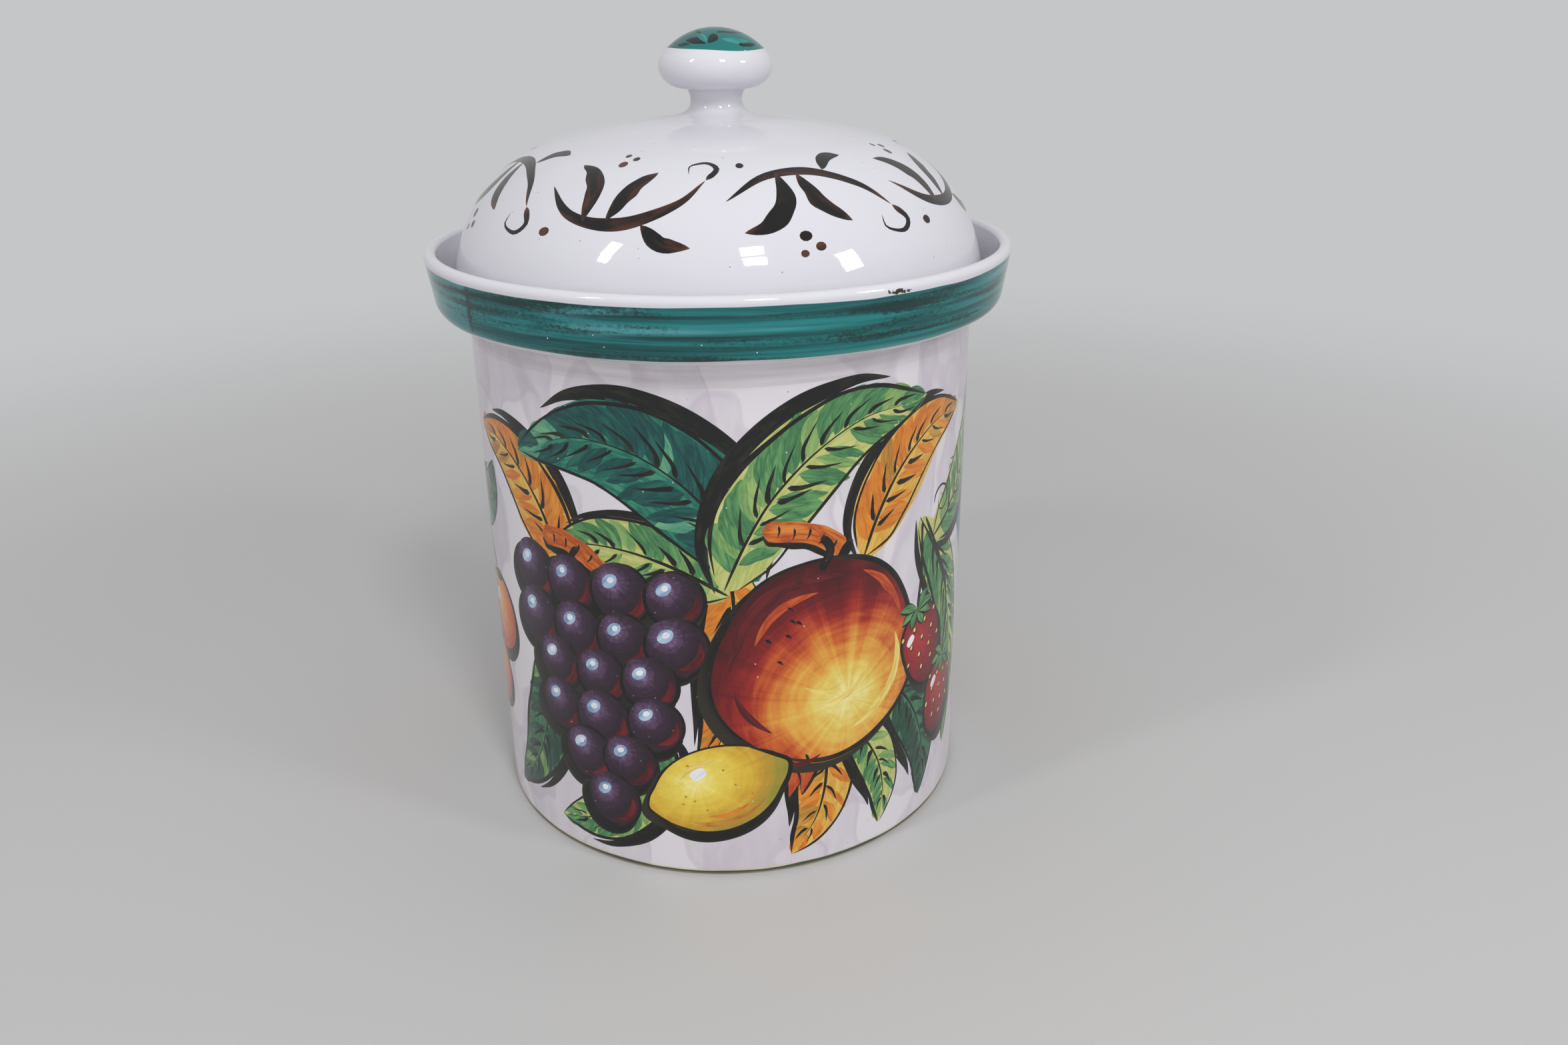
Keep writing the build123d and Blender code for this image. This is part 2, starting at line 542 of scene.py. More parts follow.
def belt_border(radius, low, high):
    """Border of a drawing that goes once round a surface, with points where its rings have theirs."""
    wide = TURNS * radius
    tall = np.linspace(low, high, math.ceil((high - low) / SHEET_GRID) + 1)
    bottom = np.stack([wide, np.full(len(wide), low)], -1)
    top = np.stack([wide, np.full(len(wide), high)], -1)
    right = np.stack([np.full(len(tall), wide[-1]), tall], -1)
    left = np.stack([np.full(len(tall), wide[0]), tall], -1)
    return np.vstack([bottom[:-1], right[:-1], top[:0:-1], left[:0:-1]])


def disc_border(radius):
    turns = TURNS[:-1]
    return radius * np.stack([np.sin(turns), -np.cos(turns)], -1)


# Materials

# How glaze and clay shine, how fine their relief is, and how many places have no speck
GLAZE_ROUGHNESS = 0.045
GLAZE_IOR = 1.52
GLAZE_RELIEF = 0.0005
SWELL_SCALE = 45.0
PEEL_SCALE = 420.0
SPECK_GRID = 210.0
SPECK_FREE = 0.62
CLAY_ROUGHNESS = 0.85
CLAY_RELIEF = 0.0003


def srgb(red, green, blue):
    """A colour read as 0 to 255 on a screen, as the linear light that shaders use."""
    shares = np.array([red, green, blue]) / 255
    linear = np.where(shares <= 0.04045, shares / 12.92, ((shares + 0.055) / 1.055) ** 2.4)
    return (*linear.tolist(), 1.0)


class Term:
    """A node's output that can be reckoned with: each sign adds a node. A wide one is a vector."""

    def __init__(self, shade, socket, wide=False):
        self.shade, self.socket, self.wide = shade, socket, wide

    def __add__(self, other):
        return self.shade.reckon("ADD", self, other, self.wide)

    def __sub__(self, other):
        return self.shade.reckon("SUBTRACT", self, other, self.wide)

    def __rsub__(self, other):
        return self.shade.reckon("SUBTRACT", other, self, self.wide)

    def __mul__(self, other):
        return self.shade.reckon("MULTIPLY", self, other, self.wide)

    def __truediv__(self, other):
        return self.shade.reckon("DIVIDE", self, other, self.wide)

    def length(self):
        return self.shade.reckon("LENGTH", self, wide=True)


class Nodes:
    """A node tree. Its methods add nodes and return terms to build on."""

    def __init__(self, tree):
        self.tree = tree

    def feed(self, socket, value):
        value = getattr(value, "socket", value)
        if isinstance(value, bpy.types.NodeSocket):
            self.tree.links.new(value, socket)
        else:
            socket.default_value = value

    def node(self, kind, inputs=None, **settings):
        node = self.tree.nodes.new(kind)
        for key, value in settings.items():
            setattr(node, key, value)
        for key, value in (inputs or {}).items():
            self.feed(node.inputs[key], value)
        return node

    def term(self, kind, output, inputs=None, wide=False, **settings):
        """One output of a new node."""
        return Term(self, self.node(kind, inputs, **settings).outputs[output], wide)

    def reckon(self, operation, first, second=None, wide=False, **settings):
        """One step of arithmetic with numbers, or with vectors where it is wide."""
        inputs = {0: first} if second is None else {0: first, 1: second}
        kind = "ShaderNodeVectorMath" if wide else "ShaderNodeMath"
        wide = wide and operation != "LENGTH"
        output = "Vector" if wide else "Value"
        return self.term(kind, output, inputs, wide, operation=operation, **settings)

    def between(self, value, low, high, soft=0.0003):
        """A mask that is 1 from the low value to the high one."""
        return self.rise(value - low, 0.0, soft) * self.rise(high - value, 0.0, soft)

    def noise(self, vector, scale, detail=3.0, roughness=0.5, warp=0.0, turn=0.0):
        """Noise at one scale, or at three, one for each direction after a turn about the second."""
        if isinstance(scale, tuple):
            inputs = {"Vector": vector, "Scale": scale, "Rotation": (0, turn, 0)}
            vector, scale = self.term("ShaderNodeMapping", "Vector", inputs), 1.0
        inputs = {"Vector": vector, "Scale": scale, "Detail": detail,
                  "Roughness": roughness, "Distortion": warp}
        return self.term("ShaderNodeTexNoise", "Fac", inputs)

    def steps(self, factor, *stops):
        """A colour ramp. Each stop gives its place, red, green and blue."""
        node = self.node("ShaderNodeValToRGB", {"Fac": factor})
        marks = node.color_ramp.elements
        while len(marks) < len(stops):
            marks.new(1.0)
        for mark, (place, *colour) in zip(marks, stops):
            mark.position, mark.color = place, srgb(*colour)
        return Term(self, node.outputs["Color"])

    def rise(self, value, low, high, top=1.0):
        """A smooth step from 0 to the top between two values."""
        inputs = {"Value": value, "From Min": low, "From Max": high, "To Max": top}
        return self.term("ShaderNodeMapRange", "Result", inputs, interpolation_type="SMOOTHSTEP")

    def blend(self, share, first, second):
        """The first colour with a share of the second laid over it."""
        return self.term("ShaderNodeMix", 2, {0: share, 6: first, 7: second}, data_type="RGBA")


class Shader(Nodes):
    """The nodes of one material, with the places that its paint can follow."""

    def __init__(self, name):
        self.material = bpy.data.materials.new(name)
        self.material.use_nodes = True
        super().__init__(self.material.node_tree)
        self.surface = self.tree.nodes["Principled BSDF"]
        self.shape = self.term("ShaderNodeTexCoord", "Object", wide=True)
        self.local = self.term("ShaderNodeAttribute", "Vector", wide=True, attribute_name="paint")
        self.tone = self.term("ShaderNodeAttribute", "Fac", attribute_name="tone")

    def places(self):
        """Height above the floor, distance from the axis and place to the right, in metres."""
        height, right = (self.term("ShaderNodeSeparateXYZ", axis, {"Vector": self.shape}) for axis in "ZX")
        return height, (self.shape * (1, 1, 0)).length(), right

    def wavy(self, middle, swing, scale):
        """A value that wanders by the swing to both sides of its middle."""
        return (self.noise(self.shape, scale) - 0.5) * (swing * 4) + middle

    def relief(self, height, strength, depth):
        """Gives the surface its fine relief, and returns the finished material."""
        bump = self.node("ShaderNodeBump", {"Strength": strength, "Distance": depth, "Height": height})
        self.feed(self.surface.inputs["Normal"], bump.outputs[0])
        return self.material

    def gloss(self, colour, speck):
        """Finishes a glazed surface: scattered specks, a faint unevenness and a wet shine."""
        cells = self.node("ShaderNodeTexVoronoi", {"Vector": self.shape, "Scale": SPECK_GRID}).outputs
        pick = self.term("ShaderNodeTexWhiteNoise", "Value", {"Vector": cells["Position"]})
        dots = self.rise(cells["Distance"], 0.06, 0.035) * self.rise(pick, SPECK_FREE, SPECK_FREE + 0.01)
        self.feed(self.surface.inputs["Base Color"], self.blend(dots, colour, speck))
        self.surface.inputs["Roughness"].default_value = GLAZE_ROUGHNESS
        self.surface.inputs["IOR"].default_value = GLAZE_IOR
        swell, peel = self.noise(self.shape, SWELL_SCALE, 1.0), self.noise(self.shape, PEEL_SCALE, 2.0)
        return self.relief(swell + peel * 0.06, 0.35, GLAZE_RELIEF)


# Heights on the crock in metres, and the places of two marks on its collar
FOOT_LINE_TOP = 0.0026
THIN_GLAZE_TOP = 0.0036
SHADED_FROM = 0.1995
BAND_LOW = 0.2112
LADEN_LOW = 0.2218
LADEN_TOP = 0.2298
BAND_TOP = 0.2302
COLLAR_LEAN = 0.155
COLLAR_OUTSIDE = 0.0762
LAP_RIGHT = -0.088
LAP_WIDTH = 0.0022
CHIP_PLACE = (0.0595, -0.0978, 0.231)

# Colours of the glazes and of what shows through them
WHITE = srgb(218, 217, 223)
CLOUD = srgb(204, 200, 210)
WASHED = srgb(223, 218, 223)
MAUVE = srgb(190, 178, 192)
# Colour of the painted shade on the wall under the collar's overhang
PAINTED_COLLAR_SHADE = srgb(172, 162, 164)
THIN_GLAZE = srgb(206, 196, 150)
FOOT_LINE = srgb(26, 62, 46)
PINHOLE = srgb(128, 116, 112)
BARE = srgb(238, 236, 238)


def washed_white(shade):
    """White with thin mauve brush marks, each darker along one edge."""
    inputs = {"Vector": shade.shape, "Scale": 38.0, "Detail": 1.0}
    swirl = shade.term("ShaderNodeTexNoise", "Color", inputs, wide=True)
    drift = shade.shape + swirl * (0.016, 0.016, 0.016)
    colour = WASHED
    for turn, size, low in ((0.35, 25.0, 0.5), (-0.6, 33.0, 0.53)):
        marks = shade.noise(drift, (size, size, size * 0.62), 1.0, 0.4, turn=turn)
        body = shade.rise(marks, low, low + 0.035, 0.42)
        edge = shade.rise(marks, low, low + 0.012) * shade.rise(marks, low + 0.055, low + 0.012, 0.3)
        streaks = shade.noise(shade.shape, (110, 110, 45), 2.0, turn=turn)
        body = body * shade.rise(streaks, 0.1, 0.7)
        colour = shade.blend(shade.reckon("ADD", body, edge, use_clamp=True), colour, MAUVE)
    return colour


def white_glaze(name, washed=False):
    """White glaze. The washed one has painted shade under the collar, a streaked grey-brown band, and two
    lines at the foot.
    """
    shade = Shader(name)
    colour = washed_white(shade) if washed else WHITE
    cloud = shade.noise(shade.shape, 14.0, 2.0)
    colour = shade.blend(shade.rise(cloud, 0.35, 0.75, 0.22), colour, CLOUD)
    if washed:
        height = shade.places()[0]
        # Painted shade: a streaked grey-brown band on the wall under the collar, where its shade falls
        band = shade.between(height, shade.wavy(SHADED_FROM, 0.0012, (18, 18, 5)), 0.25)
        streaks = shade.noise(shade.shape, (12, 12, 300))
        colour = shade.blend(band * shade.rise(streaks, 0.3, 0.8, 0.5), colour, PAINTED_COLLAR_SHADE)
        foot = shade.between(height, -1.0, shade.wavy(THIN_GLAZE_TOP, 0.0005, (20, 20, 5)), 0.0008)
        colour = shade.blend(foot * 0.5, colour, THIN_GLAZE)
        edge = shade.between(height, -1.0, shade.wavy(FOOT_LINE_TOP, 0.0006, (26, 26, 5)), 0.0004)
        colour = shade.blend(edge * 0.95, colour, FOOT_LINE)
    return shade.gloss(colour, PINHOLE)


def collar_paint(name):
    """White glaze with a band brushed round the outside, streaked along its way and chipped once."""
    shade = Shader(name)
    height, radius, right = shade.places()
    top = shade.wavy(BAND_TOP, 0.0006, (16, 16, 8))
    low = shade.wavy(BAND_LOW, 0.0006, (19, 19, 8))
    outside = shade.between(radius - height * COLLAR_LEAN, COLLAR_OUTSIDE, 1.0)
    band = shade.between(height, low, top) * outside
    flow = shade.noise(shade.shape, (7, 7, 430), 4.0, 0.62)
    colour = shade.steps(flow, (0.32, 0, 56, 58), (0.44, 2, 90, 92), (0.55, 8, 118, 118),
                         (0.64, 26, 132, 134), (0.7, 10, 114, 114))
    milky = shade.noise(shade.shape, (12, 12, 150), 2.0, 0.45, 0.3)
    colour = shade.blend(shade.rise(milky, 0.54, 0.7, 0.55), colour, srgb(96, 172, 180))
    lap = shade.wavy(LAP_RIGHT, 0.0012, (30, 30, 160))
    lighter = shade.between(right, -1.0, lap, 0.0002) * 0.6
    colour = shade.blend(lighter, colour, srgb(56, 142, 146))
    seam = shade.between(right, lap, lap + LAP_WIDTH, 0.0008)
    patches = shade.noise(shade.shape, (15, 15, 230), 3.0, 0.55)
    grain = shade.noise(shade.shape, (620, 620, 1000), 3.0, 0.7)
    laden = shade.between(height, shade.wavy(LADEN_LOW, 0.0011, (11, 11, 30)), LADEN_TOP, 0.0022)
    rough = patches + (grain - 0.5) * 0.4 + seam * 0.12 + laden * 0.1
    colour = shade.blend(shade.rise(rough, 0.52, 0.72, 0.92), colour, srgb(0, 42, 40))
    colour = shade.blend(band, WHITE, colour)
    spatter = shade.noise(shade.shape, (430, 430, 700), 2.0, 0.6)
    chip = ((shade.shape - CHIP_PLACE) * (1, 1, 5)).length() + spatter * 0.016
    colour = shade.blend(shade.rise(chip, 0.0122, 0.0114), colour, srgb(52, 44, 36))
    return shade.gloss(colour, shade.blend(band, PINHOLE, BARE))


def bare_clay(name):
    shade = Shader(name)
    grain = shade.noise(shade.shape, 900.0, 4.0, 0.7)
    stain = shade.noise(shade.shape, 60.0, 2.0)
    colour = shade.steps(grain, (0.3, 176, 142, 110), (0.55, 196, 164, 132), (0.75, 214, 188, 158))
    colour = shade.blend(shade.rise(stain, 0.45, 0.7, 0.4), colour, srgb(150, 122, 100))
    shade.feed(shade.surface.inputs["Base Color"], colour)
    shade.surface.inputs["Roughness"].default_value = CLAY_ROUGHNESS
    return shade.relief(grain, 0.5, CLAY_RELIEF)


def leaf_paint(name, light, middle, deep):
    """Thin paint that pools in streaks along the stroke."""
    shade = Shader(name)
    streaks = shade.noise(shade.local, (0.05, 0.5, 1), 3.0, 0.6, 0.5)
    pools = shade.noise(shade.local, (0.07, 0.12, 1), 2.0, 0.5, 0.4)
    colour = shade.steps(streaks * 0.55 + pools * 0.45, (0.36, *light), (0.46, *middle), (0.5, *deep),
                         (0.53, *middle), (0.66, *light))
    return shade.gloss(colour, BARE)


def fruit_paint(name, light_at, *stops, speck=BARE):
    """Paint that darkens away from a light spot, with brush marks round it and out from it."""
    shade = Shader(name)
    away = shade.local * (1, 1, 0) - (*light_at, 0)
    distance = away.length()
    seed = shade.local * (0, 0, 1)
    outwards = shade.reckon("NORMALIZE", away, wide=True)
    rays = shade.noise(outwards * (3.2, 3.2, 0) + seed, 1.6, 4.0, 0.7)
    rounds = shade.term("ShaderNodeCombineXYZ", "Vector", {"Z": distance * 8.0}, wide=True)
    rounds = shade.noise(rounds + outwards * (1.1, 1.1, 0) + seed, 1.0, 4.0, 0.62)
    value = (distance + (rays * 0.6 + rounds * 0.62 - 0.61)) / 1.7
    return shade.gloss(shade.steps(value, *stops), speck)


def ink_paint(name, thick, thin, size=0.12):
    """Nearly opaque black, thinner and browner in places."""
    shade = Shader(name)
    flow = shade.noise(shade.local, (size, size * 4, 1), 2.0, 0.5, 0.3)
    ends = shade.rise(shade.reckon("ABSOLUTE", shade.tone - 0.5), 0.34, 0.5, 0.25)
    return shade.gloss(shade.steps(flow + ends, (0.5, *thick), (0.78, *thin)), srgb(96, 96, 92))


Palette = namedtuple("Palette", "fill dab accent")

ink = ink_paint("outline_ink", (9, 11, 10), (42, 40, 30))
script = ink_paint("lid_brushwork", (13, 8, 8), (84, 46, 32), 0.06)
green = Palette(
    leaf_paint("green_leaf", (202, 202, 130), (184, 190, 110), (162, 176, 94)),
    leaf_paint("green_dab", (108, 158, 96), (74, 130, 80), (54, 108, 68)),
    leaf_paint("pale_dab", (150, 180, 104), (124, 162, 94), (100, 144, 84)))
teal = Palette(
    leaf_paint("teal_leaf", (62, 142, 114), (30, 114, 94), (20, 92, 80)),
    leaf_paint("teal_dab", (26, 100, 88), (14, 76, 72), (10, 60, 62)),
    leaf_paint("mint_dab", (112, 170, 128), (86, 152, 120), (60, 132, 110)))
gold = Palette(
    leaf_paint("gold_leaf", (226, 186, 92), (218, 170, 70), (206, 150, 54)),
    leaf_paint("orange_dab", (222, 146, 48), (210, 124, 34), (192, 104, 26)),
    leaf_paint("ochre_dab", (200, 148, 56), (184, 128, 44), (166, 108, 36)))
forest = Palette(
    leaf_paint("forest_leaf", (70, 128, 88), (52, 108, 76), (42, 92, 66)),
    leaf_paint("forest_dab", (38, 86, 64), (28, 70, 54), (22, 58, 46)),
    leaf_paint("moss_dab", (140, 166, 96), (112, 148, 86), (90, 130, 76)))
blue = Palette(
    leaf_paint("blue_leaf", (108, 172, 196), (80, 152, 184), (60, 132, 170)),
    leaf_paint("blue_dab", (44, 108, 150), (32, 88, 130), (26, 72, 112)),
    leaf_paint("sky_dab", (150, 196, 206), (124, 180, 198), (104, 164, 188)))
bark = leaf_paint("bark", (214, 132, 54), (194, 96, 30), (160, 66, 22))

ripe = fruit_paint(
    "ripe_fruit", (0.34, -0.3),
    (0.02, 236, 224, 150), (0.14, 226, 200, 96), (0.29, 222, 158, 62), (0.42, 198, 90, 34),
    (0.53, 156, 38, 26), (0.63, 110, 16, 22), (0.78, 68, 10, 16))
crimson = fruit_paint(
    "crimson_fruit", (-0.2, 0.1),
    (0.0, 176, 40, 48), (0.3, 146, 22, 36), (0.55, 116, 16, 30), (0.8, 74, 14, 22))
lemon = fruit_paint(
    "lemon_fruit", (-0.25, 0.3),
    (0.0, 244, 232, 150), (0.2, 232, 210, 88), (0.42, 220, 184, 60), (0.6, 198, 150, 44),
    (0.78, 150, 142, 52), (0.92, 112, 116, 44))
apricot = fruit_paint(
    "apricot_fruit", (-0.25, 0.25),
    (0.0, 240, 190, 96), (0.25, 228, 150, 54), (0.5, 210, 108, 32), (0.75, 170, 66, 24),
    (0.95, 120, 40, 22))
grape = fruit_paint(
    "dark_fruit", (-0.3, 0.35),
    (0.0, 150, 132, 168), (0.16, 96, 72, 104), (0.34, 56, 36, 56), (0.6, 38, 24, 36),
    (0.8, 58, 24, 38), (0.95, 34, 22, 28),
    speck=srgb(150, 150, 160))
bloom = leaf_paint("bloom_light", (196, 214, 230), (150, 178, 206), (116, 146, 182))
spark = leaf_paint("white_reserve", (240, 240, 242), (232, 232, 236), (214, 216, 224))
maroon = leaf_paint("maroon_mark", (112, 24, 30), (88, 18, 24), (66, 14, 20))
straw = leaf_paint("straw_mark", (240, 222, 140), (230, 204, 104), (216, 184, 84))
rust = leaf_paint("rust_mark", (204, 98, 40), (184, 74, 30), (160, 54, 26))


# Painted motifs

# Steps along a leaf, in millimetres: dabs on its shaded side, dabs on its lit side, and side veins
DARK_DAB_STEP = 6.0
LIGHT_DAB_STEP = 9.5
VEIN_STEP = 12.5


class Painter:
    """Lays down strokes and motifs, one over the other. Places are millimetres on the sheet."""

    def __init__(self, seed):
        self.shapes = []
        self.draw = np.random.RandomState(seed)

    def near(self, middle, spread):
        return middle + self.draw.uniform(-spread, spread)

    def stroke(self, points, width, paint, profile, rough=0.15, lean=0.0):
        self.shapes.append(brush(curve(points), width, paint, self.draw, profile, rough, lean))

    def spot(self, centre, radii, paint, tilt=0.0, form=oval, rough=0.04):
        self.shapes.append(blob(np.array(centre, float), radii, paint, self.draw, tilt, form, rough))

    def leaf(self, base, tip, bow, width, palette, dark, shadow):
        """A leaf from base to tip. Bow bends it to the left, and dark is the side that is shaded."""
        base, tip = np.array(base, float), np.array(tip, float)
        run = tip - base
        bend = np.array([-run[1], run[0]]) / np.linalg.norm(run) * bow
        rib = curve([base, base + run * 0.32 + bend * 0.85, base + run * 0.68 + bend * 0.95, tip])
        t = np.linspace(0, 1, len(rib))
        half = width / 2 * leaf_width(t)
        side = sideways(rib)

        def at(share, reach):
            """Points at shares of the length, and at so many half widths to the left."""
            share, reach = np.broadcast_arrays(np.atleast_1d(share).astype(float), reach)
            middle = np.stack([np.interp(share, t, column) for column in rib.T], -1)
            out = np.stack([np.interp(share, t, column) for column in side.T], -1)
            return middle + out * (np.interp(share, t, half) * reach)[:, None]

        length = np.linalg.norm(np.diff(rib, axis=0), axis=1).sum()
        edge = at(np.linspace(0.0, 0.82, 9), dark)
        push = sideways(edge) * dark * shadow * 0.42
        self.stroke(edge + push, shadow, ink, swelling, 0.18)
        slip = self.draw.uniform(-0.7, 0.7, 2)
        self.shapes.append(brush(rib + slip, width * 1.04, palette.fill, self.draw, leaf_width, 0.06))
        for which in (dark, -dark):
            count = round(length / (DARK_DAB_STEP if which == dark else LIGHT_DAB_STEP))
            for k in range(count):
                share = 0.05 + 0.84 * (k + self.near(0.5, 0.3)) / count
                reach = which * self.near(0.98, 0.14)
                path = [at(share, which * 0.05)[0], at(share + 0.055, reach * 0.5)[0],
                        at(min(share + 0.13, 0.99), reach)[0]]
                if which != dark:
                    path = path[::-1]
                wide = self.near(6.6 if which == dark else 4.4, 1.3) * (1.1 - share * 0.55) * width / 32
                paint = palette.accent if self.draw.rand() < 0.2 else palette.dab
                self.stroke(path, wide, paint, swelling, 0.2)
        for which in (1, -1):
            wide = self.near(1.5 if which == dark else 1.05, 0.25)
            shares = np.linspace(self.near(0.04, 0.04), 0.995, 10)
            edge = at(shares, which * (1.0 + 0.07 * wander(self.draw, 10, 4)))
            self.stroke(edge, wide, ink, line, 0.5)
        rib_line = at(np.linspace(0.0, self.near(0.93, 0.04), 6), self.near(0, 0.05))
        self.stroke(rib_line, self.near(1.5, 0.3), ink, comma, 0.25)
        for which in (1, -1):
            count = round(length / VEIN_STEP)
            for k in range(count):
                share = 0.12 + 0.74 * (k + self.near(0.5, 0.25)) / count
                reach = which * self.near(0.6, 0.12)
                start = which * self.near(0.07, 0.05)
                path = [at(share, start)[0], at(share + 0.035, (start + reach) * 0.45)[0],
                        at(share + 0.11, reach)[0]]
                self.stroke(path, self.near(2.1, 0.6) * (1.15 - 0.5 * share), ink, comma, 0.2)

    def twig(self, points, width):
        """A stub of branch: bark with a dark underside, hatching and a cut end."""
        path = curve(points)
        self.stroke(path[::4] - [0, width * 0.35], width * 0.9, ink, blunt, 0.15)
        self.shapes.append(brush(path, width, bark, self.draw, blunt, 0.12))
        side = sideways(path)
        for k in range(4, len(path) - 3, 4):
            start = path[k] + side[k] * width * self.near(0.25, 0.12)
            drop = side[k] * width
            self.stroke([start, start - drop * 0.3 + [0.6, 0], start - drop * 0.62], 1.3, ink, comma)
        last = path[-1] - path[-3]
        self.spot(path[-1], (width * 0.3, width * 0.55), ink, math.atan2(last[1], last[0]), rough=0.2)

    def ring(self, centre, radii, width, start, stop, paint, tilt=0.0, form=oval, profile=line):
        """A stroke that follows a fruit's rim between two angles."""
        angle = np.linspace(start, stop, 15)
        flat = circle(angle) * np.array(radii) * form(angle)[:, None]
        self.stroke(flat @ spin(tilt) + centre, width, paint, profile, 0.2)

    def fruit(self, centre, radii, paint, tilt, form, shadow, towards):
        """A body of fruit with a black shadow on one side and a thick and thin outline."""
        centre = np.array(centre, float)
        size = np.array(radii, float)
        shift = heading(towards) * shadow * 0.8
        self.spot(centre + shift, size + shadow * 0.25, ink, tilt, form, 0.05)
        self.spot(centre, size * 1.01, paint, tilt, form, 0.03)
        slip = centre + self.draw.uniform(-0.5, 0.5, 2)
        first = self.draw.uniform(0, FULL_TURN)
        self.ring(slip, size, self.near(1.9, 0.3), first, first + 3.6, ink, tilt, form)
        self.ring(centre, size, self.near(1.1, 0.2), first + 3.3, first + 6.4, ink, tilt, form)

    def pomegranate(self, centre, radius, tilt):
        """A large round fruit with its crown below, light on its lower right."""
        centre = np.array(centre, float)

        def lobed(angle):
            return 1 + 0.025 * np.cos(3 * angle + 0.6) + 0.015 * np.cos(5 * angle)

        down = tilt - QUARTER
        crown = centre + radius * 0.97 * heading(down)
        for spread in (-0.9, -0.45, 0.0, 0.45, 0.9):
            way = down + spread * 0.75
            tip = crown + radius * 0.36 * heading(way)
            root = crown - radius * 0.1 * heading(down) + [spread * radius * 0.16, 0]
            middle = (root + tip) / 2
            self.stroke([root, middle + [spread * 1.2, 0], tip + [0, -1]], radius * 0.3, ink, comma)
            self.stroke([root, middle + [spread, 0], tip], radius * 0.23, rust, comma)
        size = np.array([radius, radius * 0.96])
        self.fruit(centre, size, ripe, tilt, lobed, 6.5, -2.5)
        for share, start, stop, wide, paint in (
                (0.84, 1.7, 3.5, 6.0, maroon), (0.7, 2.0, 3.1, 3.4, rust), (0.8, 3.7, 4.4, 3.0, maroon),
                (0.9, 0.7, 1.5, 3.6, rust), (0.42, -1.3, 0.1, 3.0, straw), (0.28, -2.0, -0.6, 2.2, straw),
                (0.78, -0.9, 0.5, 4.2, straw)):
            self.ring(centre, size * share, wide, start, stop, paint, tilt, lobed, swelling)
        for k in range(6):
            way, far = self.near(2.6, 0.55), radius * self.near(0.55, 0.14)
            place = centre + far * heading(way)
            self.stroke([place, place + [1.6, -0.6], place + [2.6, -2.0]], self.near(1.7, 0.5), ink, comma)
        for spread in (-0.5, 0.0, 0.5):
            root = crown + [spread * radius * 0.3, radius * 0.06]
            self.stroke([root, root + [spread * 2, -2.5], root + [spread * 4, -6]], 1.6, ink, comma)
        self.ring(crown + [0, 2.5], (radius * 0.3, radius * 0.1), 2.4, 3.3, 6.1, maroon, profile=swelling)

    def grapes(self, top, rows, radius, lean):
        """A hanging bunch of dark fruit, from its upper rows to its tip."""
        places = []
        for row, count in enumerate(rows):
            for k in range(count):
                x = (k - (count - 1) / 2) * radius * 1.72 + lean * row * radius + self.near(0, 1.2)
                places.append(np.array(top) + [x, -row * radius * 1.5 + self.near(0, 1.2)])
        for place in places:
            self.spot(place + [-2.6, -3.2], (radius * 1.12, radius * 1.12), ink)
        for place in places:
            size = radius * self.near(1.0, 0.06)
            self.spot(place, (size, size), grape)
            self.ring(place, (size * 0.74, size * 0.74), size * 0.26, -1.5, 0.3, maroon, profile=swelling)
            self.ring(place, (size, size), self.near(1.4, 0.3), 2.4, 2.4 + self.near(5.6, 0.4), ink)
            self.spot(place + [-size * 0.33, size * 0.36], (size * 0.3, size * 0.2), bloom, 0.7)
            self.spot(place + [-size * 0.3, size * 0.4], (size * 0.13, size * 0.1), spark, 0.5, rough=0.2)

    def citrus(self, centre, length, width, tilt):
        """A lemon with a nipple at each end."""
        def pointed(angle):
            return 1 + 0.16 * np.exp(-(np.sin(angle) / 0.3) ** 2)

        size = np.array([length, width]) / 2
        self.fruit(centre, size, lemon, tilt, pointed, 5.0, -2.0)
        self.ring(centre, size * 0.8, 3.2, 3.9, 5.6, gold.accent, tilt, pointed, swelling)
        self.ring(centre, size * 0.62, 2.4, 4.2, 5.3, gold.dab, tilt, pointed, swelling)
        self.ring(centre, size * 0.68, 2.6, 1.2, 2.4, straw, tilt, pointed, swelling)
        for k in range(9):
            way, far = self.draw.uniform(0, FULL_TURN), self.near(0.5, 0.25)
            place = centre + size * far * heading(way)
            self.spot(place, (0.55, 0.45), gold.accent, rough=0.2)
        spot = centre + size * [-0.3, 0.36]
        self.spot(spot, (3.4, 2.2), spark, tilt + 0.3, squared, 0.1)

    def round_fruit(self, centre, radius):
        """A small round fruit with a crease and a square light."""
        centre = np.array(centre, float)
        self.fruit(centre, (radius, radius * 0.97), apricot, 0, oval, 4.0, -1.2)
        self.ring(centre, (radius * 0.75, radius * 0.75), radius * 0.16, 4.2, 6.0, rust, profile=swelling)
        self.ring(centre + [radius * 0.4, 0], (radius * 0.8, radius * 0.95), 1.3, 1.9, 3.6, ink, 0.6)
        light = centre + [-radius * 0.34, radius * 0.3]
        self.spot(light, (radius * 0.2, radius * 0.16), spark, 0.3, squared, 0.1)
        self.spot(centre + [0, radius * 0.9], (radius * 0.3, radius * 0.14), ink, 0.2, rough=0.2)

    def strawberry(self, centre, size, tilt):
        """A heart of crimson with pale seeds and a ragged green collar. Returns where its stalk starts."""
        centre = np.array(centre, float)

        def heart(angle):
            return 0.98 + 0.2 * np.cos(angle - math.pi * 1.5) ** 3 - 0.06 * np.cos(2 * angle)

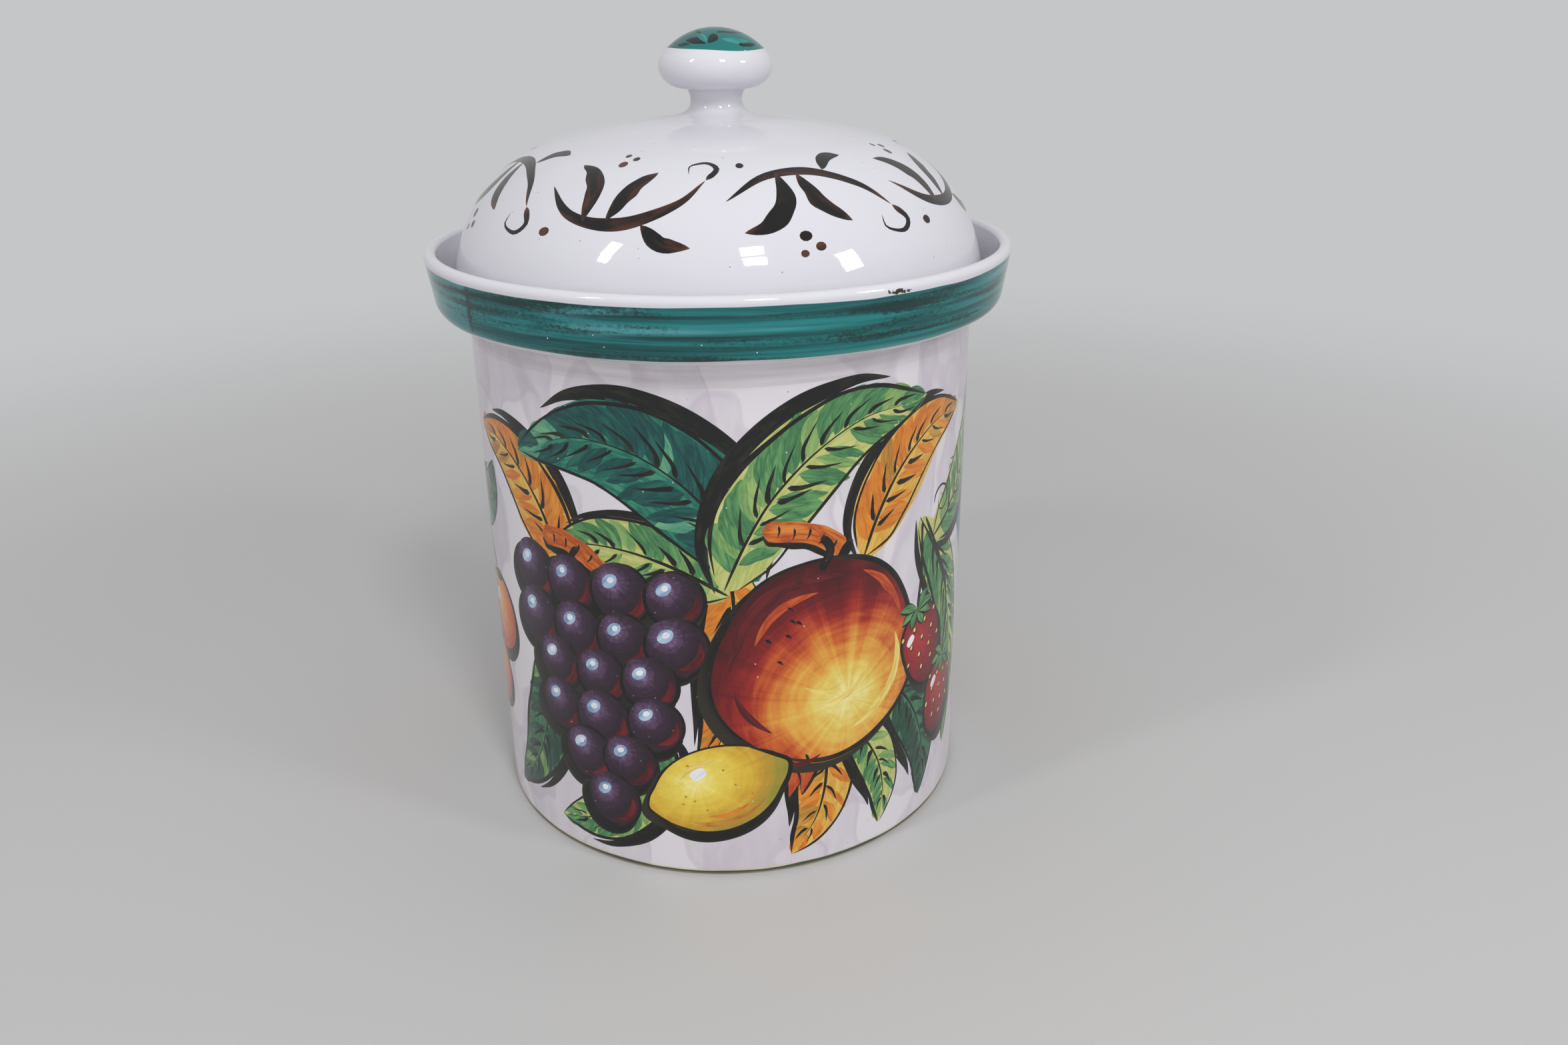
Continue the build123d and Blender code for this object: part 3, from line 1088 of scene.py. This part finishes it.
        self.fruit(centre, (size * 0.84, size), crimson, tilt, heart, 4.5, -1.1)
        turn = spin(tilt)
        for row in range(4):
            count = 4 - row % 2 - row // 3
            for k in range(count):
                across = (k - (count - 1) / 2) * size * 0.42
                place = np.array([across, size * (0.42 - 0.36 * row)]) @ turn + centre
                self.spot(place + [0.4, -0.5], (1.3, 1.0), ink, 1.2, rough=0.2)
                self.spot(place, (1.0, 0.65), straw, 1.2, rough=0.2)
        light = np.array([-size * 0.4, size * 0.25]) @ turn + centre
        self.spot(light, (2.6, 1.7), spark, 0.8, squared, 0.1)
        stem = np.array([0, size * 0.84]) @ turn + centre
        for way in (-2.9, -2.2, -1.5, -0.8, -0.1, 0.6, 2.6):
            tip = stem + size * 0.62 * (heading(way + tilt) * [1, 0.75])
            middle = (stem + tip) / 2
            self.stroke([stem, middle + [0, 1.2], tip], size * 0.27, ink, swelling)
            self.stroke([stem, middle + [0, 1.4], tip + [0, 0.6]], size * 0.19, green.dab, swelling)
        return stem

    def stalk(self, points, width):
        self.stroke(points, width, ink, blunt, 0.3)

    def tendril(self, start, size, way):
        """A thin curl that winds inwards."""
        turn = np.linspace(0, 1.6 * FULL_TURN, 15)
        far = size * (1 - turn / turn[-1] * 0.85)
        centre = np.array(start) + [way * size, 0]
        path = centre + np.stack([-way * np.cos(turn) * far, np.sin(turn) * far], -1)
        self.stroke(path, 1.2, ink, comma, 0.3)


def paint_wall():
    """Leaves and fruit round the crock. The middle of the sheet faces the viewer."""
    p = Painter(11)
    p.leaf((106, 152), (146, 74), 12, 34, blue, 1, 5)
    p.leaf((52, 130), (112, 176), 14, 42, gold, 1, 6)
    p.leaf((82, 138), (112, 22), 16, 38, green, -1, 6)
    p.leaf((0, 136), (-14, 40), 8, 40, gold, -1, 4)
    p.leaf((-66, 122), (-122, 170), -14, 44, gold, -1, 6)
    p.leaf((92, 126), (134, 184), -12, 38, green, -1, 6)
    p.leaf((0, 122), (-74, 132), -10, 40, green, -1, 4)
    p.leaf((10, 128), (-88, 168), -26, 54, teal, -1, 8)
    p.leaf((-2, 124), (84, 186), 20, 50, green, 1, 8)
    p.leaf((64, 76), (88, 10), 10, 38, forest, -1, 6)
    p.leaf((34, 66), (22, 7), 8, 38, gold, -1, 5)
    p.leaf((46, 62), (62, 9), 8, 30, green, -1, 5)
    p.leaf((-28, 66), (-78, 12), 12, 44, green, 1, 6)
    p.leaf((-78, 92), (-112, 12), 10, 40, forest, 1, 6)
    p.twig([(12, 147), (30, 144), (44, 135)], 8)
    p.twig([(-76, 138), (-60, 136), (-46, 127)], 8)
    p.stalk([(-58, 136), (-62, 130), (-56, 122)], 2.6)
    p.grapes((-52, 120), (4, 4, 3, 3, 2, 1), 12, 0.03)
    p.pomegranate((36, 90), 44, -0.35)
    p.stalk([(34, 142), (38, 136), (34, 128)], 3.4)
    p.citrus((-6, 40), 52, 38, 0.35)
    first = p.strawberry((87, 84), 18, 0.3)
    second = p.strawberry((104, 54), 17, -0.2)
    p.stalk([first, first + [2, 14], (84, 136)], 1.8)
    p.stalk([second, second + [1, 30], (86, 137)], 1.8)
    p.tendril((92, 140), 7, 1)
    p.leaf((172, 126), (142, 70), -8, 32, gold, 1, 4)
    p.leaf((194, 128), (148, 184), -14, 46, teal, 1, 7)
    p.leaf((206, 126), (262, 184), 16, 46, green, 1, 7)
    p.leaf((166, 90), (140, 14), -8, 36, green, 1, 5)
    p.leaf((186, 70), (176, 9), -8, 34, gold, 1, 5)
    p.leaf((224, 110), (252, 30), 10, 38, forest, 1, 5)
    p.leaf((204, 60), (220, 9), -8, 32, green, -1, 5)
    p.leaf((206, 134), (198, 82), -8, 30, green, 1, 5)
    p.stalk([(186, 137), (164, 128), (147, 106)], 2.4)
    p.stalk([(216, 133), (238, 112), (239, 76)], 2.4)
    p.twig([(180, 136), (200, 139), (222, 131)], 9)
    p.citrus((176, 92), 64, 46, -0.4)
    p.citrus((212, 60), 60, 44, 0.5)
    p.leaf((246, 130), (212, 116), 8, 30, green, 1, 4)
    p.leaf((284, 128), (330, 182), -12, 44, teal, 1, 7)
    p.leaf((256, 130), (298, 188), 14, 42, gold, 1, 6)
    p.leaf((292, 120), (322, 44), 12, 38, green, 1, 6)
    p.leaf((278, 70), (296, 10), -8, 36, forest, 1, 5)
    p.leaf((266, 74), (244, 12), 8, 34, gold, 1, 5)
    p.twig([(240, 132), (266, 138), (298, 129)], 8)
    p.round_fruit((260, 98), 22)
    p.round_fruit((286, 66), 21)
    p.stalk([(260, 119), (262, 128), (268, 138)], 1.8)
    p.stalk([(286, 86), (282, 112), (272, 138)], 1.8)
    p.leaf((-132, 112), (-140, 30), -10, 34, green, -1, 5)
    p.leaf((-150, 130), (-112, 156), -8, 34, forest, 1, 5)
    p.stalk([(-122, 104), (-136, 124), (-162, 138)], 2.0)
    p.round_fruit((-121, 88), 18)
    p.round_fruit((-132, 58), 16)
    p.leaf((-172, 128), (-138, 182), 10, 38, gold, -1, 5)
    p.leaf((-176, 122), (-228, 184), 16, 48, teal, 1, 7)
    p.leaf((-170, 72), (-158, 10), 8, 38, forest, -1, 6)
    p.leaf((-206, 76), (-238, 12), 10, 40, gold, -1, 5)
    p.leaf((-188, 60), (-196, 8), 8, 30, green, -1, 5)
    p.leaf((-230, 120), (-244, 34), 8, 34, gold, -1, 4)
    p.leaf((-246, 126), (-242, 190), -12, 36, blue, -1, 6)
    p.leaf((-252, 124), (-312, 172), -14, 46, green, -1, 7)
    p.leaf((-284, 74), (-316, 12), 8, 38, forest, -1, 5)
    p.leaf((-262, 60), (-258, 10), 8, 32, green, -1, 5)
    p.twig([(-160, 136), (-180, 142), (-202, 134)], 9)
    p.twig([(-248, 134), (-266, 138), (-288, 128)], 8)
    p.pomegranate((-188, 90), 42, 0.3)
    p.grapes((-274, 114), (3, 4, 3, 3, 2, 1), 11.8, -0.03)
    return wrapped(p.shapes, BODY_RADIUS)


def paint_lid():
    """A running vine in one dark colour, drawn with a loaded brush."""
    p = Painter(23)
    waves = 8
    pitch = FULL_TURN * BELT_RADIUS / waves
    for k in range(waves):
        x = (k - waves / 2) * pitch + pitch * 0.03
        up = 1 if k % 2 else -1

        def spot(dx, dy):
            return (x + dx * pitch, BELT_MIDDLE + up * dy)

        for places, width, profile, lean in (
                ([(0.0, 2), (0.22, -9), (0.5, -11), (0.76, -3), (0.9, 8)], 4.6, swelling, 0.0),
                ([(0.9, 8), (0.96, 14), (0.9, 18), (0.8, 16), (0.8, 11)], 2.8, comma, 0.0),
                ([(0.3, -11), (0.3, 2), (0.2, 11), (0.08, 14)], 7.0, swelling, 0.2),
                ([(0.42, -10), (0.5, 4), (0.62, 12)], 6.4, swelling, -0.2),
                ([(0.6, -11), (0.7, -18), (0.84, -19)], 5.6, swelling, 0.2)):
            p.stroke([spot(*place) for place in places], width, script, profile, lean=lean)
        for dx, dy, size in ((0.36, 16, 1.9), (0.42, 20, 1.6), (0.34, 22, 1.3), (0.1, -16, 1.7)):
            p.spot(spot(dx, dy), (size * p.near(1.1, 0.1), size), script, 0.4, rough=0.1)
    return p.shapes


# Pieces

def crock_rows():
    recess = BODY_RADIUS - FOOT_RING_WIDTH
    inner = BODY_RADIUS - BODY_WALL
    corners = [(0, FOOT_RECESS), (recess, FOOT_RECESS), (recess, 0), (BODY_RADIUS, 0),
               (BODY_RADIUS, BODY_TOP), (inner, BODY_TOP), (inner, FLOOR_TOP), (0, FLOOR_TOP)]
    return rounded(corners, [RECESS_ROUNDING, RECESS_ROUNDING / 2, HEEL_ROUNDING, 0, 0, FLOOR_FILLET])


def collar_rows():
    inner = BODY_RADIUS - BODY_WALL
    hidden = BODY_RADIUS - POOL_WIDTH / 2
    corners = [(inner, BODY_TOP), (hidden, BODY_TOP), (hidden, BODY_TOP - POOL_DROP),
               (BODY_RADIUS + POOL_WIDTH / 4, BODY_TOP - POOL_DROP / 3),
               (BODY_RADIUS + POOL_WIDTH, BODY_TOP), (COLLAR_FOOT_RADIUS, BODY_TOP),
               (COLLAR_BRIM_RADIUS, COLLAR_TOP), (COLLAR_BRIM_RADIUS - COLLAR_WALL, COLLAR_TOP),
               (GALLERY_FOOT_RADIUS, LEDGE_TOP), (inner, LEDGE_TOP), (inner, BODY_TOP)]
    lip, gallery = [LIP_ROUNDING] * 2, [GALLERY_FILLET] * 2
    return rounded(corners, [0, 0, POOL_ROUNDING, POOL_ROUNDING, COLLAR_HEEL] + lip + gallery)


lid_shape = Dome(LID_RADIUS, LEDGE_TOP, LID_RISE, LID_SHOULDER_SHARE)
BELT_TURN = math.radians(50)
BELT_RADIUS = lid_shape.reach + lid_shape.shoulder * math.cos(BELT_TURN)
BELT_MIDDLE = lid_shape.shoulder * BELT_TURN
BELT_HALF = 30.0


def lid_rows():
    rounding = LID_FOOT_ROUNDING
    inner = LID_RADIUS - LID_WALL
    centre = LEDGE_TOP + rounding
    inside = reverse(lid_shape.rows(LID_WALL, rounding / lid_shape.shoulder))
    inner_turn = arc_rows((inner + rounding, centre), (rounding, rounding), 2 * QUARTER, 3 * QUARTER)
    outer_turn = arc_rows((LID_RADIUS - rounding, centre), (rounding, rounding), -QUARTER, 0)
    return inside + inner_turn + outer_turn + lid_shape.rows(0.0, 2 * rounding / lid_shape.shoulder)


def knob_rows():
    cuff = KNOB_SEAT + KNOB_NECK_HEIGHT
    widest = cuff + KNOB_CUFF_HEIGHT + KNOB_BELLY_HEIGHT
    cuff_radius = KNOB_NECK_RADIUS + KNOB_CUFF_WIDTH
    cap = Dome(KNOB_RADIUS, widest, KNOB_CROWN_RISE, KNOB_SHOULDER_SHARE)
    foot = (KNOB_FEATHER_RADIUS, lid_shape.height_at(KNOB_FEATHER_RADIUS))
    slope = foot[0] / (foot[1] - lid_shape.centre)
    rows = [[0, foot[1] - 0.5, 1, 0], [foot[0], foot[1], 1, 0]]
    rows += bend_rows(foot, (-1, slope), (KNOB_NECK_RADIUS, cuff), (0, 1), (9.0, 4.4))
    rows += arc_rows((cuff_radius, cuff), (KNOB_CUFF_WIDTH, KNOB_CUFF_HEIGHT), 2 * QUARTER, QUARTER)[1:]
    belly = (KNOB_RADIUS - cuff_radius, KNOB_BELLY_HEIGHT)
    rows += arc_rows((cuff_radius, widest), belly, 3 * QUARTER, 4 * QUARTER)
    return rows + cap.rows()[1:]


def unfolding(low, high):
    """Lays the crock out flat: the wall in two halves side by side, and the rest in a band above them."""
    scale = (0.5 - 2 * MAP_MARGIN) / (high - low)
    top = 4 * MAP_MARGIN + math.pi * BODY_RADIUS * scale

    def unfold(spread):
        turn, along = spread[..., 0], spread[..., 1]
        middle = along.mean(axis=1)[:, None]
        half = (turn.mean(axis=1) > 0)[:, None]
        wall = (middle > low) & (middle < high)
        rest = np.where(middle > high, along - high + low * 1.1, along)
        tall = (1 - MAP_MARGIN - top) / (rest.max() + 1)
        across = np.where(wall, half * 0.5 + (along - low) * scale,
                          (turn + math.pi) / FULL_TURN * (1 - 2 * MAP_MARGIN))
        up = np.where(wall, 2 * MAP_MARGIN + (turn + np.where(half, 0, math.pi)) * BODY_RADIUS * scale,
                      top + rest * tall)
        return np.stack([across + MAP_MARGIN, up], -1)

    return unfold


def make_crock():
    """The sheet with the painting goes round the wall. Bare clay shows under the foot ring."""
    surface = Surface(crock_rows(), seed=3, depth=0.18)
    skin = Skin("crock_body_painted", surface)
    recess = BODY_RADIUS - FOOT_RING_WIDTH
    start = surface.far(lambda r, z: r > BODY_RADIUS - TOUCH and z > HEEL_ROUNDING - TOUCH) - HEEL_ROUNDING
    inside = surface.far(lambda r, z: r < BODY_RADIUS - BODY_WALL + TOUCH and z > BODY_TOP - TOUCH)
    foot = surface.far(lambda r, z: r > recess - TOUCH and z < FOOT_RECESS - RECESS_ROUNDING)
    glazed = start + HEEL_ROUNDING * 0.5
    skin.turn(0.0, foot, white_ground)
    skin.turn(foot, glazed, clay)
    skin.turn(glazed, start + PAINTING_LOW, washed_ground)
    sheet = Sheet(belt_border(BODY_RADIUS, PAINTING_LOW, PAINTING_TOP), paint_wall())
    sheet.lay(skin, lambda x, y: (x / BODY_RADIUS, start + y), washed_ground)
    skin.turn(start + PAINTING_TOP, inside, washed_ground)
    skin.turn(inside, surface.along[-1], white_ground)
    skin.build("crock", "crock_body", unfolding(glazed, start + BODY_TOP))


def make_collar():
    surface = Surface(collar_rows(), seed=5, depth=0.12)
    skin = Skin("gallery_collar_painted", surface)
    skin.turn(0.0, surface.along[-1], collar_glaze)
    skin.build("crock", "gallery_collar")


def make_lid():
    """The sheet with the vine goes round the shoulder. Bare clay shows on the standing edge."""
    surface = Surface(lid_rows(), seed=7, depth=0.15)
    skin = Skin("lid_dome_painted", surface)
    edge = LEDGE_TOP + LID_FOOT_ROUNDING
    foot = surface.far(lambda r, z: r > LID_RADIUS - TOUCH and z > edge - TOUCH) - LID_FOOT_ROUNDING
    bare = surface.far(lambda r, z: r > LID_RADIUS - LID_WALL - TOUCH and z < edge + TOUCH)
    low, high = BELT_MIDDLE - BELT_HALF, BELT_MIDDLE + BELT_HALF
    skin.turn(0.0, bare, white_ground)
    skin.turn(bare, foot + 0.5, clay)
    skin.turn(foot + 0.5, foot + low, white_ground)
    sheet = Sheet(belt_border(BELT_RADIUS, low, high), paint_lid())
    sheet.lay(skin, lambda x, y: (x / BELT_RADIUS, foot + y), white_ground)
    skin.turn(foot + high, surface.along[-1], white_ground)
    skin.build("lid", "lid_dome")


def paint_knob():
    """The coloured cap of the knob, with loose dark strokes. The middle of the sheet is its top."""
    p = Painter(31)
    p.spot((0.3, -0.4), (20.4, 20.4), cap_glaze)
    for x, y, tilt in ((8, -12, 0.4), (9, 6, 1.2), (-10, 6, 2.2), (0, 14, 0.2)):
        place, way = np.array([x, y]), heading(tilt) * 6
        p.stroke([place - way, place + [1, -1.5], place + way], 3.4, cap_light, swelling)
    p.stroke([(-11.5, -10.5), (-7, -13.8), (-3.6, -17)], 4.2, cap_dark, swelling, 0.3)
    p.stroke([(-0.4, -10.5), (-0.8, -14), (-2.6, -17)], 3.8, cap_dark, swelling, 0.3)
    p.stroke([(-6.6, -8.6), (-4.6, -13), (-3.2, -16.4)], 2.6, cap_light, swelling)
    p.stroke([(-5.4, -9.6), (-6.8, -5), (-5.6, 1)], 2.0, cap_dark, comma, 0.3)
    p.stroke([(0.4, -9.8), (6, -8), (10, -4), (12, 3)], 2.6, cap_dark, comma, 0.3)
    p.stroke([(9.4, -15.6), (13.4, -12.8), (16.2, -8.4)], 2.0, cap_dark, line, 0.3)
    p.stroke([(-15, -10), (-13, -12.6), (-9.6, -14.8)], 2.0, cap_dark, swelling, 0.3)
    return p.shapes


def make_knob():
    """The round sheet with the coloured cap lies on top."""
    surface = Surface(knob_rows(), seed=9, depth=0.1)
    skin = Skin("lid_knob_painted", surface)
    top = surface.along[-1]
    skin.turn(0.0, top - CAP_REACH, white_ground)
    sheet = Sheet(disc_border(CAP_REACH), paint_knob(), CAP_GRID)
    sheet.lay(skin, lambda x, y: (np.arctan2(x, -y), top - np.hypot(x, y)), white_ground)
    skin.build("lid", "lid_knob")


white_ground = white_glaze("white_glaze")
washed_ground = white_glaze("washed_glaze", True)
collar_glaze = collar_paint("collar_glaze")
cap_glaze = leaf_paint("cap_glaze", (22, 128, 122), (12, 106, 102), (8, 80, 80))
cap_light = leaf_paint("cap_light", (52, 150, 144), (34, 132, 128), (22, 114, 110))
cap_dark = leaf_paint("cap_dark", (14, 46, 46), (8, 28, 30), (6, 18, 20))
clay = bare_clay("bare_clay")
make_crock()
make_collar()
make_lid()
make_knob()


# Stage and camera
PHOTO_WIDTH = 2352
FOCAL_PIXELS = 1907.8
SENSOR_MM = 36.0
CAMERA_BACK = 0.5113
CAMERA_HEIGHT = 0.3211
CAMERA_PITCH = 0.393
CAMERA_YAW = 0.048
CAMERA_ROLL = -0.0081
FLOOR_SIZE = 30.0
FLOOR_ROUGHNESS = 0.7
HAZE_FROM = 0.3
HAZE_FULL = 1.1
FLOOR_COLOUR = srgb(198, 197, 196)
BACKDROP = srgb(197, 198, 199)
WORLD_LIGHT = (0.44, 0.445, 0.46, 1)


def aim_camera():
    """The photograph's own viewpoint, solved from the ellipses of rim, collar and foot."""
    camera = added("camera", bpy.data.cameras.new("camera"))
    camera.data.sensor_width = SENSOR_MM
    camera.data.lens = FOCAL_PIXELS * SENSOR_MM / PHOTO_WIDTH
    camera.data.clip_start = 0.02
    place = Matrix.Translation((0, -CAMERA_BACK, CAMERA_HEIGHT))
    for angle, axis in ((-CAMERA_YAW, "Z"), (QUARTER - CAMERA_PITCH, "X"), (CAMERA_ROLL, "Z")):
        place = place @ Matrix.Rotation(angle, 4, axis)
    camera.matrix_world = place
    bpy.context.scene.camera = camera


def softbox(name, place, target, width, height, power, mirrored=True):
    """A flat lamp. One that isn't mirrored gives light, but no highlight on the glaze."""
    lamp = bpy.data.lights.new(name, "AREA")
    lamp.shape = "RECTANGLE"
    lamp.size, lamp.size_y = width, height
    lamp.energy = power
    light = added(name, lamp)
    light.location = place
    light.rotation_euler = (Vector(target) - Vector(place)).to_track_quat("-Z", "Y").to_euler()
    light.visible_glossy = mirrored


def lay_floor():
    half = FLOOR_SIZE / 2
    mesh = bpy.data.meshes.new("floor")
    corners = [(-half, -half, 0), (half, -half, 0), (half, half, 0), (-half, half, 0)]
    mesh.from_pydata(corners, [], [(0, 1, 2, 3)])
    floor = added("floor", mesh)
    shade = Shader("pale_floor")
    shade.surface.inputs["Base Color"].default_value = FLOOR_COLOUR
    shade.surface.inputs["Roughness"].default_value = FLOOR_ROUGHNESS
    haze = shade.node("ShaderNodeEmission", {"Color": BACKDROP})
    away = shade.rise(shade.places()[1], HAZE_FROM, HAZE_FULL)
    share = away * seen_directly(shade)
    mixed = shade.node("ShaderNodeMixShader", {0: share, 1: shade.surface.outputs[0], 2: haze.outputs[0]})
    shade.feed(shade.tree.nodes["Material Output"].inputs["Surface"], mixed.outputs[0])
    mesh.materials.append(shade.material)


def seen_directly(shade):
    """1 for rays from the camera, also after a reflection or through glass."""
    rays = shade.node("ShaderNodeLightPath").outputs
    share = rays["Is Camera Ray"]
    for other in ("Is Glossy Ray", "Is Transmission Ray"):
        share = shade.reckon("MAXIMUM", share, rays[other])
    return share


def light_world():
    world = bpy.data.worlds.new("studio")
    world.use_nodes = True
    bpy.context.scene.world = world
    shade = Nodes(world.node_tree)
    colour = shade.blend(seen_directly(shade), WORLD_LIGHT, BACKDROP)
    shade.feed(shade.tree.nodes["Background"].inputs["Color"], colour)


lay_floor()
light_world()
softbox("window_high", (0.33, -1.1, 1.44), (0, 0, 0.15), 0.26, 0.15, 3.8)
softbox("window_low", (0.36, -1.2, 1.26), (0, 0, 0.15), 0.26, 0.15, 3.8)
softbox("side", (1.2, -0.7, 1.0), (0, 0, 0.15), 0.22, 0.3, 3.6)
softbox("left", (-1.1, -0.75, 1.3), (0, 0, 0.15), 0.14, 0.4, 3.6)
softbox("top", (0, -0.1, 1.7), (0, 0, 0.2), 1.8, 1.6, 3.2, False)
softbox("front", (0, -1.6, 0.6), (0, 0, 0.12), 1.2, 0.8, 4.2, False)
bpy.context.scene.view_settings.view_transform = "Standard"
aim_camera()
